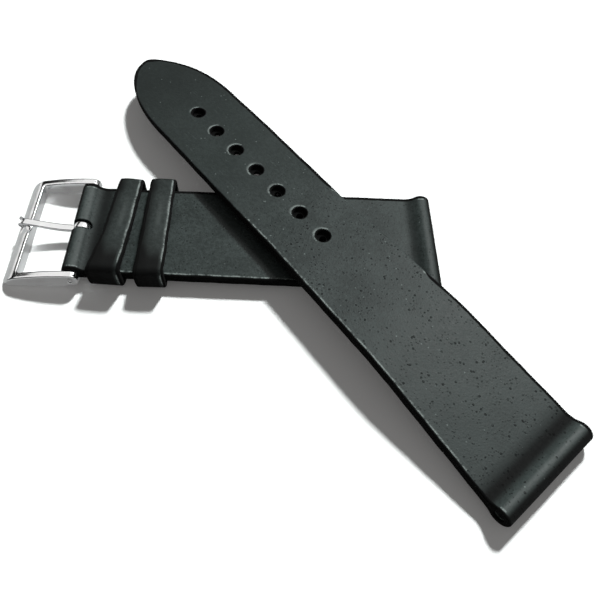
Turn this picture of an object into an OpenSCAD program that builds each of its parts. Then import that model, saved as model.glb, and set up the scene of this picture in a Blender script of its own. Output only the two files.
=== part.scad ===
/* [Leather] */
// Thickness of the outer leather
outer_t = 1.1; // [0.9:0.05:1.3]
// Thickness of the lining leather and of the skived turned-under flaps
lining_t = 0.9; // [0.7:0.05:1.1]
// Thickness of the leather of both keepers
keeper_t = 0.9; // [0.7:0.05:1.1]

/* [Lug ends] */
// Width of both halves at the watch case
lug_w = 22; // [20:0.5:24]
// Bore of the tunnel that takes the spring bar of the watch
tunnel_d = 2; // [1.6:0.1:2.3]
// Length of the flap turned under at each lug end
lug_flap = 12; // [8:1:16]
// Radius of the valley where the strap meets the roll
valley_r = 3; // [1.5:0.1:3.5]

/* [Buckle half] */
// Distance from the lug tunnel to the buckle bar
half_len = 67; // [62:0.5:80]
// Width of the strap at the buckle
buckle_w = 20.5; // [18:0.5:21]
// Height of the underside above the table
strap_lift = 1; // [0.9:0.05:1.3]
// Leather left round the buckle bar, skived thinner than the strap
fold_t = 0.95; // [0.8:0.05:1.1]
// Height of the fold round the buckle bar above the table
fold_lift = 0.5; // [0:0.05:0.6]
// Length of the flap turned under at the buckle
bar_flap = 15; // [12:1:20]

/* [Keepers] */
// Width of each keeper
keeper_w = 5.1; // [4:0.1:6]
// Distance from the buckle bar to the middle of the fixed keeper
fixed_keeper_at = 7.6; // [7.6:0.1:9]
// Distance from the fixed keeper to the free keeper, middle to middle
keeper_pitch = 6.9; // [6.8:0.1:8]
// Room over the strap inside the fixed keeper
fixed_room = 2.55; // [2.3:0.05:3]
// Room over the strap inside the free keeper
free_room = 2.15; // [2.1:0.05:3]
// Slide of the free keeper towards the wider lug end
free_travel = 3.5; // [2:0.5:4]
// Turn of the fixed keeper on the strap in degrees
fixed_skew = -3; // [-3:0.5:3]
// Turn of the free keeper on the strap in degrees
free_skew = 0.5; // [-3:0.5:3]

/* [Tail half] */
// Distance from the lug tunnel to the tip
tail_len = 118.5; // [105:0.5:130]
// Width of the tail past its taper
tail_w = 19; // [18:0.5:20]
// Length over which the tail narrows
tail_taper = 60; // [45:1:75]
// Length of the rounded tip
tip_len = 20; // [14:1:26]
// Height of the tail's underside above the table, below its lug tunnel
tail_lift = 0.6; // [0.3:0.05:0.9]
// Number of adjustment holes
hole_n = 7; // [5:1:7]
// Diameter of an adjustment hole
hole_d = 2.8; // [2.2:0.1:3]
// Distance between the holes
hole_pitch = 6.95; // [6:0.05:7]
// Distance from the tip to the first hole
hole_first = 22; // [18:0.5:24]

/* [Crossing] */
// Direction of the tail, seen from above, in degrees from the X axis
tail_angle = 129.5; // [126:0.5:136]
// Length of tail before its right edge passes over the buckle half
cross_s = 35; // [32:0.5:38]
// Distance from the lug tunnel to where that edge passes over
cross_in = 0.6; // [0:0.1:4]
// Length of tail bent from the slope to the level
bend_len = 10; // [6:1:14]
// Downward turn of the tail's tip in degrees
tip_droop = 3.5; // [1:0.5:5]

/* [Buckle] */
// Distance from the buckle bar to the inner edge of the front bar
frame_reach = 9.8; // [8.6:0.1:12]
// Width of the front bar, front to back
front_bar_w = 3; // [2.4:0.1:3.6]
// Thickness of each arm
arm_t = 1.4; // [1.4:0.1:2.2]
// Radius of the rounded arm end
arm_end_r = 1.45; // [1.2:0.05:1.7]
// Height of the front bar's inner edge above the table
front_bar_h = 2.6; // [2.2:0.1:3]
// Depth of the seat for the tang in the front bar
seat_depth = 0.2; // [0.1:0.05:0.4]
// Width of the tang
tang_w = 1.4; // [1.2:0.1:2]
// Thickness of the tang
tang_t = 0.9; // [0.8:0.05:1.1]
// Distance from the buckle bar to the tang's kink
tang_kink = 4.2; // [3.5:0.1:5]
// Depth of the kink below the buckle bar
kink_drop = 0.2; // [0:0.05:0.4]
// Turn of the tang off its seat at rest, in degrees
tang_open = 5; // [0:1:8]

/* [Spring bar] */
// Diameter of the spring bar's tube
bar_d = 1.8; // [1.6:0.1:2]
// Diameter of the spring bar's noses
nose_d = 0.8; // [0.6:0.05:0.9]
// Inward travel of each nose
nose_travel = 1.5; // [1.3:0.05:1.8]
// Wall of the tube
tube_wall = 0.3; // [0.2:0.02:0.32]
// Length of the shank inside the tube
shank_len = 3; // [2:0.2:4]
// Number of turns of the coil spring
coil_turns = 12; // [8:1:14]
// Diameter of the coil's wire
wire_d = 0.22; // [0.16:0.02:0.24]

/* [Fits] */
// Radial clearance of a turning or sliding metal fit
run_gap = 0.05; // [0.03:0.01:0.08]
// Clearance between the free keeper and the strap's underside
slide_gap = 0.1; // [0.05:0.01:0.2]
// Clearance at each side of a keeper
side_gap = 0.4; // [0.35:0.05:0.6]
// Clearance at each side of the strap and of the tang in the buckle
cheek_gap = 0.3; // [0.2:0.05:0.5]
// Clearance between the tail half and what it lies across
rest_gap = 0.3; // [0.3:0.05:0.5]
// Clearance between the tang and its seat
seat_gap = 0.15; // [0.1:0.01:0.25]

/* [Hidden] */
$fn = 64;
strap_t = outer_t + lining_t;
// The height zero is the axis of the lug tunnels, so the table lies one roll radius below it
roll_r = tunnel_d/2 + outer_t;
table = -roll_r;
strap_bottom = table + strap_lift;
strap_joint = strap_bottom + lining_t;
strap_top = strap_bottom + strap_t;
// The butt joint between a turned-under flap and the lining
butt_gap = 0.15;
// The extra that a cutting tool runs past a face, and a height above every piece
over = 1;
tall = 20;
valley_bite = 0.005;

// Buckle bar, in the fold of leather
bar_x = -half_len;
fold_bore_r = bar_d/2 + run_gap;
fold_r = fold_bore_r + fold_t;
bar_z = table + fold_lift + fold_r;
slot_w = tang_w + 2*cheek_gap;
eye_bore_r = bar_d/2 + run_gap;
// Wall of the tang's eye
eye_wall = 0.75;
eye_r = eye_bore_r + eye_wall;
slot_end = eye_r + cheek_gap;

// Half width of the buckle half at a distance x along it
function half_w(x) = (lug_w + (buckle_w - lug_w)*min(1, max(0, -x/half_len)))/2;
// Half width of the tail at a distance s from its lug tunnel
function tail_half_w(s) = (lug_w + (tail_w - lug_w)*min(1, max(0, s/tail_taper)))/2;

// Side path of the tail: a straight slope, a bend to the level, and a drooping tip
// Rise of the valley's curve over the strap's top below the tail's edge
valley_rise = 0.2;
tail_ref = -roll_r + tail_lift;
// Heights above the table that clear the roll and the strap of the buckle half there
clear_r = roll_r + rest_gap;
over_roll = cross_in < clear_r ? roll_r + sqrt(clear_r*clear_r - cross_in*cross_in) : 0;
over_strap = strap_top - table + valley_rise + rest_gap;
cross_height = max(over_roll, over_strap);
tail_rise = cross_height - tail_lift;
// The bend ends a little before the crossing, and the path runs on past the tip
level_before = 1;
path_spare = 2;
bend_end = cross_s - level_before;
bend_start = bend_end - bend_len;
tail_slope = asin(tail_rise/(bend_start + bend_len/2));
droop_start = tail_len - hole_first + hole_d;
path_len = tail_len + path_spare;

// Displacement along a stretch of length len whose direction turns evenly from a to b
function run(a, b, len, u) = a == b
    ? u*[cos(a), sin(a)]
    : let (k = (b - a)/len, q = a + k*u, r = 180/PI/k) r*[sin(q) - sin(a), cos(a) - cos(q)];
function tail_dir(s) = s < bend_start ? tail_slope
    : s < bend_end ? tail_slope*(bend_end - s)/bend_len
    : s < droop_start ? 0
    : -tip_droop*(s - droop_start)/(path_len - droop_start);
function tail_pos(s) = s <= bend_start ? run(tail_slope, tail_slope, 1, s)
    : s <= bend_end
        ? tail_pos(bend_start) + run(tail_slope, 0, bend_len, s - bend_start)
    : s <= droop_start ? tail_pos(bend_end) + [s - bend_end, 0]
    : tail_pos(droop_start) + run(0, -tip_droop, path_len - droop_start, s - droop_start);
// A point at height h square to the path
function tail_at(s, h) = tail_pos(s) + h*[-sin(tail_dir(s)), cos(tail_dir(s))];
function tail_stations(from) = concat(
    [from, bend_start],
    [for (i = [1:5]) bend_start + bend_len*i/5],
    [for (i = [0:6]) droop_start + (path_len - droop_start)*i/6]
);
// Place of the tail's lug tunnel, worked back from the crossing point
cross_pt = [-cross_in, -lug_w/2];
tail_dir_xy = [cos(tail_angle), sin(tail_angle)];
tail_left_xy = [-sin(tail_angle), cos(tail_angle)];
tail_xy = cross_pt - cross_s*tail_dir_xy + tail_half_w(cross_s)*tail_left_xy;

// Keepers
fixed_x = bar_x + fixed_keeper_at;
free_x = fixed_x + keeper_pitch;
// Outer radius of a keeper's corners, and the rise of its top to the middle
keeper_round = 1.3;
crown = 0.3;

// Buckle frame, in heights from the buckle bar
frame_in_w = buckle_w + 2*cheek_gap;
frame_w = frame_in_w + 2*arm_t;
frame_bottom = table - bar_z;
bar_in_h = frame_bottom + front_bar_h;
// The front edge: its height, its bevel below, and the radius of the frame's corners from above
front_edge_h = 0.55;
front_bevel = 0.3;
corner_r = 1;
// Rise of the arms' upper edge over a straight line
arm_bulge = 0.25;

// Tang, in heights from the buckle bar
// The crest lies past the bar's inner edge, and the tip hangs past the crest
crest_x = -frame_reach - 0.6;
tip_past = 0.5;
tip_fall = 0.3;
// Height of the tang's middle line over the bar's inner edge, and its rise from there to the crest
tang_over_bar = bar_in_h - seat_depth + seat_gap + tang_t/2;
tang_rise = (tang_over_bar + kink_drop)/(frame_reach - tang_kink);
tang_crest = tang_over_bar - tang_rise*(crest_x + frame_reach);
tang_tip = [crest_x - tip_past, tang_crest - tip_fall];

// Spring bar
tube_len = buckle_w + cheek_gap;
tube_bore_r = bar_d/2 - tube_wall;
// Thickness of the turned-in mouth that holds a tip in the tube
mouth_t = 0.3;
shank_r = tube_bore_r - run_gap;
// A nose that is pushed in clears its arm by this much
nose_clear = 0.15;
nose_end = frame_in_w/2 + nose_travel - nose_clear;
coil_r = tube_bore_r - run_gap - wire_d/2;
coil_half = tube_len/2 - mouth_t - shank_len;

// Stands a side view up and runs it across the whole width
module across(width = lug_w + 2*over) {
    rotate([90, 0, 0]) linear_extrude(width, center = true) children();
}

// The roll at the end of a strap that runs towards +X at heights top, joint and bottom
module roll(r, top, joint, bottom, flap) {
    valley_z = top + valley_r;
    valley_x = sqrt(pow(r + valley_r, 2) - pow(valley_z, 2));
    across() circle(r);
    across() translate([0, bottom]) square([flap, joint - bottom + outer_t/2]);
    // The valley's curve bites into roll and strap a little, so that it crosses their faces
    difference() {
        across() polygon([[0, 0], [valley_x, top - outer_t/2], [valley_x, valley_z]]);
        across(lug_w + 4*over) translate([valley_x, valley_z]) circle(valley_r + valley_bite);
    }
}

// A layer of the tail between two heights, seen from the side
module tail_layer(from, low, high) {
    st = tail_stations(from);
    n = len(st) - 1;
    polygon(concat(
        [for (s = st) tail_at(s, high)],
        [for (i = [n:-1:0]) tail_at(st[i], low)]
    ));
}

// The tail seen from above: a straight taper and a half-ellipse tip
module tail_outline() {
    tip_steps = 20;
    round_from = tail_len - tip_len;
    upper = [for (i = [0:tip_steps]) let (q = 90*i/tip_steps)
        [round_from + tip_len*sin(q), tail_half_w(round_from)*cos(q)]];
    side = concat([[-roll_r - over, lug_w/2], [0, lug_w/2], [tail_taper, tail_w/2]], upper);
    polygon(concat(side, [for (i = [len(side) - 2:-1:0]) [side[i][0], -side[i][1]]]));
}

module adjustment_holes() {
    for (i = [0:hole_n - 1])
        translate([tail_len - hole_first - i*hole_pitch, 0, -roll_r])
            cylinder(h = cross_height + roll_r + strap_t + over, d = hole_d);
}

// Cuts a side profile of the tail to its outline and lays it across the buckle half
module tail_piece() {
    translate([tail_xy[0], tail_xy[1], 0]) rotate([0, 0, tail_angle]) difference() {
        intersection() {
            children();
            translate([0, 0, table - over]) linear_extrude(tall) tail_outline();
        }
        adjustment_holes();
    }
}

module tail_outer_leather() {
    color("#4b5251") tail_piece() difference() {
        union() {
            across() tail_layer(-tunnel_d/4, tail_ref + lining_t, tail_ref + strap_t);
            rotate([0, -tail_slope, 0])
                roll(roll_r, tail_ref + strap_t, tail_ref + lining_t, tail_ref, lug_flap);
        }
        across(lug_w + 4*over) circle(d = tunnel_d);
    }
}

module tail_lining() {
    color("#2f3232") tail_piece() across()
        tail_layer(lug_flap + butt_gap, tail_ref, tail_ref + lining_t);
}

// The buckle half seen from above
module buckle_half_outline() {
    end_x = bar_x - fold_r - over;
    polygon([
        [roll_r + over, lug_w/2], [0, lug_w/2], [bar_x, buckle_w/2], [end_x, buckle_w/2],
        [end_x, -buckle_w/2], [bar_x, -buckle_w/2], [0, -lug_w/2], [roll_r + over, -lug_w/2]
    ]);
}

// Cuts a side profile of the buckle half to its outline
module buckle_half_piece() {
    intersection() {
        children();
        translate([0, 0, table - over]) linear_extrude(tall) buckle_half_outline();
    }
}

module tang_slot() {
    translate([bar_x - fold_r - over, -slot_w/2, table - over])
        cube([fold_r + over + slot_end, slot_w, tall]);
}

module buckle_side_outer_leather() {
    color("#464c4b") difference() {
        buckle_half_piece() difference() {
            union() {
                across() translate([bar_x - bar_d/4, strap_joint])
                    square([half_len + bar_d/4 + tunnel_d/4, outer_t]);
                mirror([1, 0, 0])
                    roll(roll_r, strap_top, strap_joint, strap_bottom, lug_flap);
                translate([bar_x, 0, bar_z]) roll(fold_r, strap_top - bar_z,
                    strap_joint - bar_z, strap_bottom - bar_z, bar_flap);
            }
            across(lug_w + 4*over) circle(d = tunnel_d);
            across(lug_w + 4*over) translate([bar_x, bar_z]) circle(fold_bore_r);
        }
        tang_slot();
    }
}

module buckle_side_lining() {
    color("#2f3232") buckle_half_piece() across()
        translate([bar_x + bar_flap + butt_gap, strap_bottom])
            square([half_len - bar_flap - lug_flap - 2*butt_gap, lining_t]);
}

// A rectangle with round lower corners and a crowned top, from height low to height high
module loop_profile(half, low, high, round_r) {
    arc_r = (half*half + crown*crown)/(2*crown);
    intersection() {
        translate([0, high - arc_r]) circle(arc_r, $fn = 256);
        union() {
            translate([-half, low + round_r]) square([2*half, high - low - 2*round_r]);
            translate([-half + round_r, low]) square([2*(half - round_r), high - low]);
            for (sx = [-1, 1], z = [low + round_r, high - round_r])
                translate([sx*(half - round_r), z]) circle(round_r);
        }
    }
}

// A closed loop of leather round the strap, with its inside at the given sizes
module keeper(half, low, high) {
    rotate([90, 0, 90]) linear_extrude(keeper_w, center = true) difference() {
        loop_profile(half + keeper_t, low - keeper_t, high + keeper_t, keeper_round);
        loop_profile(half, low, high, keeper_round - keeper_t);
    }
}

module fixed_keeper() {
    color("#3a4040") translate([fixed_x, 0, 0]) rotate([0, 0, fixed_skew])
        keeper(half_w(fixed_x) + side_gap, strap_bottom, strap_top + fixed_room);
}

module free_keeper() {
    color("#3a4040") translate([free_x, 0, 0]) rotate([0, 0, free_skew])
        keeper(half_w(free_x + free_travel + keeper_w/2) + side_gap,
            strap_bottom - slide_gap, strap_top + free_room);
}

// Side view of the frame, from the round arm end at the bar to the thin front edge
module frame_block() {
    steps = 8;
    front = -frame_reach - front_bar_w;
    top = [for (i = [0:steps]) let (t = i/steps)
        [-frame_reach*(1 - t), bar_in_h + (arm_end_r - bar_in_h)*t + 4*arm_bulge*t*(1 - t)]];
    across(frame_w) circle(arm_end_r);
    across(frame_w) polygon(concat(
        [[front + front_bevel, frame_bottom], [front, frame_bottom + front_bevel/2],
            [front, frame_bottom + front_edge_h]],
        top,
        [[arm_end_r/2, 0], [0, -arm_end_r], [-frame_reach, frame_bottom]]
    ));
}

module buckle_frame() {
    front = -frame_reach - front_bar_w;
    color("#d8dadb") translate([bar_x, 0, bar_z]) difference() {
        intersection() {
            frame_block();
            // Round outer corners, seen from above
            translate([front, 0, -tall/2]) linear_extrude(tall) union() {
                translate([corner_r, -frame_w/2]) square([2*frame_reach, frame_w]);
                translate([0, -frame_w/2 + corner_r])
                    square([2*corner_r, frame_w - 2*corner_r]);
                for (sy = [-1, 1])
                    translate([corner_r, sy*(frame_w/2 - corner_r)]) circle(corner_r);
            }
        }
        // The opening between the arms
        translate([-frame_reach, -frame_in_w/2, -tall/2])
            cube([2*frame_reach, frame_in_w, tall]);
        // Through holes for the noses of the spring bar
        rotate([90, 0, 0])
            cylinder(h = frame_w + 2*over, d = nose_d + 2*run_gap, center = true);
        // Seat for the tang
        translate([front - over, -tang_w/2 - cheek_gap, bar_in_h - seat_depth])
            cube([front_bar_w + over, tang_w + 2*cheek_gap, arm_end_r]);
    }
}

module buckle_tang() {
    // Middle line of the shank: from the eye's wall to the kink, up to the crest, and to the tip
    line = [[-(eye_bore_r + eye_r)/2, 0], [-tang_kink, -kink_drop],
        [crest_x, tang_crest], tang_tip];
    color("#cfd1d3") translate([bar_x, 0, bar_z]) rotate([0, tang_open, 0]) difference() {
        union() {
            across(tang_w) circle(eye_r);
            across(tang_w) polygon(concat([for (p = line) p + [0, tang_t/2]],
                [for (i = [3:-1:0]) line[i] - [0, tang_t/2]]));
            // Round tip
            across(tang_w) translate(tang_tip) circle(d = tang_t);
        }
        across(tang_w + 2*over) circle(eye_bore_r);
    }
}

module spring_bar_tube() {
    color("#bfc2c4") translate([bar_x, 0, bar_z]) rotate([90, 0, 0]) difference() {
        cylinder(h = tube_len, d = bar_d, center = true);
        cylinder(h = tube_len - 2*mouth_t, r = tube_bore_r, center = true);
        cylinder(h = tube_len + 2*over, r = nose_d/2 + run_gap, center = true);
    }
}

// A tip: a shank in the tube and a nose that reaches into the arm, towards side sy
module spring_bar_tip(sy) {
    shank_out = tube_len/2 - mouth_t - run_gap;
    color("#d8dadb") translate([bar_x, 0, bar_z]) rotate([-90*sy, 0, 0]) {
        translate([0, 0, shank_out - shank_len]) cylinder(h = shank_len, r = shank_r);
        translate([0, 0, shank_out - over]) cylinder(h = nose_end - shank_out + over, d = nose_d);
    }
}

module spring_bar_near_tip() {
    spring_bar_tip(-1);
}

module spring_bar_far_tip() {
    spring_bar_tip(1);
}

// The compression spring: one unbroken helix of round wire along Y between the two shanks
module spring_bar_coil() {
    rings_per_turn = 8;
    sides = 6;
    rings = coil_turns*rings_per_turn;
    run_y = 2*(coil_half - run_gap - wire_d);
    wire_r = wire_d/2;
    pts = [for (i = [0:rings]) let (
            q = 360*i/rings_per_turn,
            y = -run_y/2 + run_y*i/rings,
            out = [cos(q), 0, sin(q)]
        ) for (j = [0:sides - 1]) let (w = 360*j/sides)
            coil_r*out + [0, y, 0] + wire_r*(cos(w)*out + sin(w)*[0, 1, 0])];
    side_faces = [for (i = [0:rings - 1], j = [0:sides - 1]) let (
            a = i*sides + j, b = i*sides + (j + 1)%sides
        ) each [[a, b, b + sides], [a, b + sides, a + sides]]];
    caps = [[for (j = [sides - 1:-1:0]) j], [for (j = [0:sides - 1]) rings*sides + j]];
    echo(coil_least_gap = run_y/coil_turns - wire_d);
    color("#a9acae") translate([bar_x, 0, bar_z]) polyhedron(pts, concat(side_faces, caps));
}

tail_outer_leather();
tail_lining();
buckle_side_outer_leather();
buckle_side_lining();
fixed_keeper();
free_keeper();
buckle_frame();
buckle_tang();
spring_bar_tube();
spring_bar_near_tip();
spring_bar_far_tip();
spring_bar_coil();
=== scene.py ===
# %% [markdown]
# # A leather watch strap, from flat blanks to a finished picture
# The strap has two halves. The tail half is a punched strap that lies across the buckle half, which
# carries two leather keepers, a pin buckle and a sprung bar. A strap maker cuts flat blanks, punches
# them, rounds their edges and bends them round the bars. This lesson makes each piece in the same way:
# one helper cuts a blank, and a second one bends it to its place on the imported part.

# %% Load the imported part
import math

import bmesh
import bpy
import numpy as np
from mathutils import Matrix, Vector


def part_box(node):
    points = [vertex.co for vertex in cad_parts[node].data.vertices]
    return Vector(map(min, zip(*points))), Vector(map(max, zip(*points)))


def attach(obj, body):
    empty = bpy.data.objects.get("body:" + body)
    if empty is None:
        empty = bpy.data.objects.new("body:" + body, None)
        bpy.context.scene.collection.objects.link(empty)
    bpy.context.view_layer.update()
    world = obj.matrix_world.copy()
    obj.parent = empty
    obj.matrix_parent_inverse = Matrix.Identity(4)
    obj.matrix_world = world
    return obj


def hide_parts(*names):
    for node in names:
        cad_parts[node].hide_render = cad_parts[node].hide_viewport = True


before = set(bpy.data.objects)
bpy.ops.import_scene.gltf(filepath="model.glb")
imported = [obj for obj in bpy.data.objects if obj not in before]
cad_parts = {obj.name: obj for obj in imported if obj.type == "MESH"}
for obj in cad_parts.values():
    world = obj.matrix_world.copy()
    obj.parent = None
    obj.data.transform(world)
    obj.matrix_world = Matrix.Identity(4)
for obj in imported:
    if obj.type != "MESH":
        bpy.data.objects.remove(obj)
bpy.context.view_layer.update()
MM = 0.001

# %% [markdown]
# ## Sizes
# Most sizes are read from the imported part, so that the dressed piece sits where its solid sits. The
# boxes of the nodes give the widths, the heights and the ends. What a box can't give, such as a radius
# inside a bend, is named here in millimetres, as the maker of the part named it.

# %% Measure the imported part
def limits(node):
    """The low and high corners of a node's box, in millimetres."""
    low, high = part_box(node)
    return np.array(low)/MM, np.array(high)/MM


outer_t, lining_t, keeper_t = 1.1, 0.9, 0.9
lug_w, buckle_w, tail_w = 22.0, 20.5, 19.0
tail_taper, tip_len = 60.0, 20.0
lug_flap, bar_flap, butt_gap = 12.0, 15.0, 0.15
tunnel_r, valley_r, bar_clear = 1.0, 3.0, 0.05
roll_r = tunnel_r + outer_t
table = -roll_r

low, high = limits("buckle_side_lining")
half_bottom, half_joint = low[2], high[2]
half_top = half_joint + outer_t
bar_x = low[0] - bar_flap - butt_gap
low, high = limits("spring_bar_tube")
bar_z, bar_r = (low[2] + high[2])/2, (high[2] - low[2])/2
fold_bore_r = bar_r + bar_clear
fold_r = bar_x - limits("buckle_side_outer_leather")[0][0]
print("buckle bar at x %.2f, z %.2f, fold radius %.2f, strap top %.2f" % (bar_x, bar_z, fold_r, half_top))

# %% [markdown]
# ## The camera
# The photograph looks down on the strap from the buckle half's near side. Its lens and its place were
# found by matching the outline, the seven holes and the rolled ends of the part with the picture.
# The camera is given as two turns, a tilt about the line of sight, and a place.

# %% Set up the camera
focal_px, frame_px, sensor_mm = 542.5, 600.0, 36.0
camera_turn, camera_height, camera_tilt = (math.radians(a) for a in (-6.03, 58.85, 7.11))
camera_place = Vector((-30.40, -65.67, 85.73))*MM

back = Vector((math.sin(camera_turn)*math.cos(camera_height),
               -math.cos(camera_turn)*math.cos(camera_height), math.sin(camera_height)))
level = Vector((0, 0, 1)).cross(back).normalized()
upright = back.cross(level)
right = math.cos(camera_tilt)*level + math.sin(camera_tilt)*upright
up = math.cos(camera_tilt)*upright - math.sin(camera_tilt)*level

camera = bpy.data.objects.new("camera", bpy.data.cameras.new("camera"))
bpy.context.scene.collection.objects.link(camera)
camera.data.sensor_width = sensor_mm
camera.data.lens = focal_px*sensor_mm/frame_px
camera.data.clip_start, camera.data.clip_end = 0.005, 10
turned = Matrix((right, up, back)).transposed().to_4x4()
camera.matrix_world = Matrix.Translation(camera_place) @ turned
bpy.context.scene.camera = camera
bpy.context.scene.view_settings.view_transform = "Standard"
print("lens %.2f mm" % camera.data.lens)

# %% [markdown]
# ## Shader sums written as Python
# A finish is a small sum: leather colour, plus pores, less the wear along an edge. Written as nodes by
# hand such a sum is hard to read. `Value` wraps one socket, and its operators add Math nodes, so that
# `1 - mask*0.5` is what it says. `Finish` makes any other node from its type, its settings and its
# inputs. Colours are mixed by Mix nodes, because a Math node would turn them grey.

# %% Values and finishes
class Value:
    """One output socket that can be used in a sum."""

    def __init__(self, tree, socket):
        self.tree, self.socket = tree, socket

    def sum(self, operation, first, second):
        node = self.tree.nodes.new("ShaderNodeMath")
        node.operation = operation
        for place, value in zip(node.inputs, (first, second)):
            feed(self.tree, place, value)
        return Value(self.tree, node.outputs[0])

    def __add__(self, other):
        return self.sum("ADD", self, other)

    def __sub__(self, other):
        return self.sum("SUBTRACT", self, other)

    def __rsub__(self, other):
        return self.sum("SUBTRACT", other, self)

    def __mul__(self, other):
        return self.sum("MULTIPLY", self, other)

    __radd__, __rmul__ = __add__, __mul__


def feed(tree, place, value):
    """Links a value to a socket, or writes a number or a colour on it."""
    if isinstance(value, Value):
        tree.links.new(value.socket, place)
    else:
        place.default_value = value


def feed_all(tree, node, inputs):
    """Feeds a node's inputs, whose names are written with underscores for their spaces."""
    for name, value in inputs.items():
        feed(tree, node.inputs[name.replace("_", " ")], value)


class Finish:
    """One material and its nodes."""

    def __init__(self, name, **plain):
        self.material = bpy.data.materials.new(name)
        self.material.use_nodes = True
        self.tree = self.material.node_tree
        self.shader = self.tree.nodes["Principled BSDF"]
        self.wear(**plain)

    def node(self, kind, settings=None, output=0, **inputs):
        """Any node, from its type, its settings and its inputs."""
        node = self.tree.nodes.new(kind)
        for name, value in (settings or {}).items():
            setattr(node, name, value)
        feed_all(self.tree, node, inputs)
        return Value(self.tree, node.outputs[output])

    def step(self, value, start, end):
        """0 before start, 1 after end, and smooth between them."""
        return self.node("ShaderNodeMapRange", {"interpolation_type": "SMOOTHSTEP"},
                         Value=value, From_Min=start, From_Max=end)

    def noise(self, where, scale, detail=2.0, rough=0.5):
        return self.node("ShaderNodeTexNoise", Vector=where, Scale=scale, Detail=detail,
                         Roughness=rough)

    def dots(self, where, scale):
        """The distance to the nearest of the dots that are strewn over the surface."""
        return self.node("ShaderNodeTexVoronoi", Vector=where, Scale=scale, Randomness=1.0)

    def mix(self, first, second, share):
        """The first colour where share is 0, and the second where it is 1."""
        node = self.tree.nodes.new("ShaderNodeMix")
        node.data_type = "RGBA"
        for place, value in ((0, share), (6, first), (7, second)):
            feed(self.tree, node.inputs[place], value)
        return Value(self.tree, node.outputs[2])

    def bump(self, height, depth, strength):
        return self.node("ShaderNodeBump", Height=height, Distance=depth, Strength=strength)

    def wear(self, **inputs):
        """Feeds the shader and gives the finished material."""
        feed_all(self.tree, self.shader, inputs)
        return self.material


# %% [markdown]
# ## Leather finishes
# The outer leather is charcoal and satin, with a fine grain, pores in loose clusters and a few rubbed
# places. Its cut edges are painted black, and the paint laps a little onto the top. The grain belongs
# to the flat hide, so it is drawn in the coordinates of the flat blank, which each piece carries as an
# attribute in millimetres. That way it runs round the rolled ends without a seam.

# %% Leather helper
everywhere, nowhere = (-2, -1), (300, 301)
# The black serves the edge paint and painted shade, and the worn grey serves wear and painted highlights
edge_paint_and_shade_black, scuff_grey = (0.0015, 0.0015, 0.0015, 1), (0.15, 0.175, 0.17, 1)
rub_grey, wear_and_highlight_grey = (0.22, 0.25, 0.24, 1), (0.19, 0.21, 0.205, 1)


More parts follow.
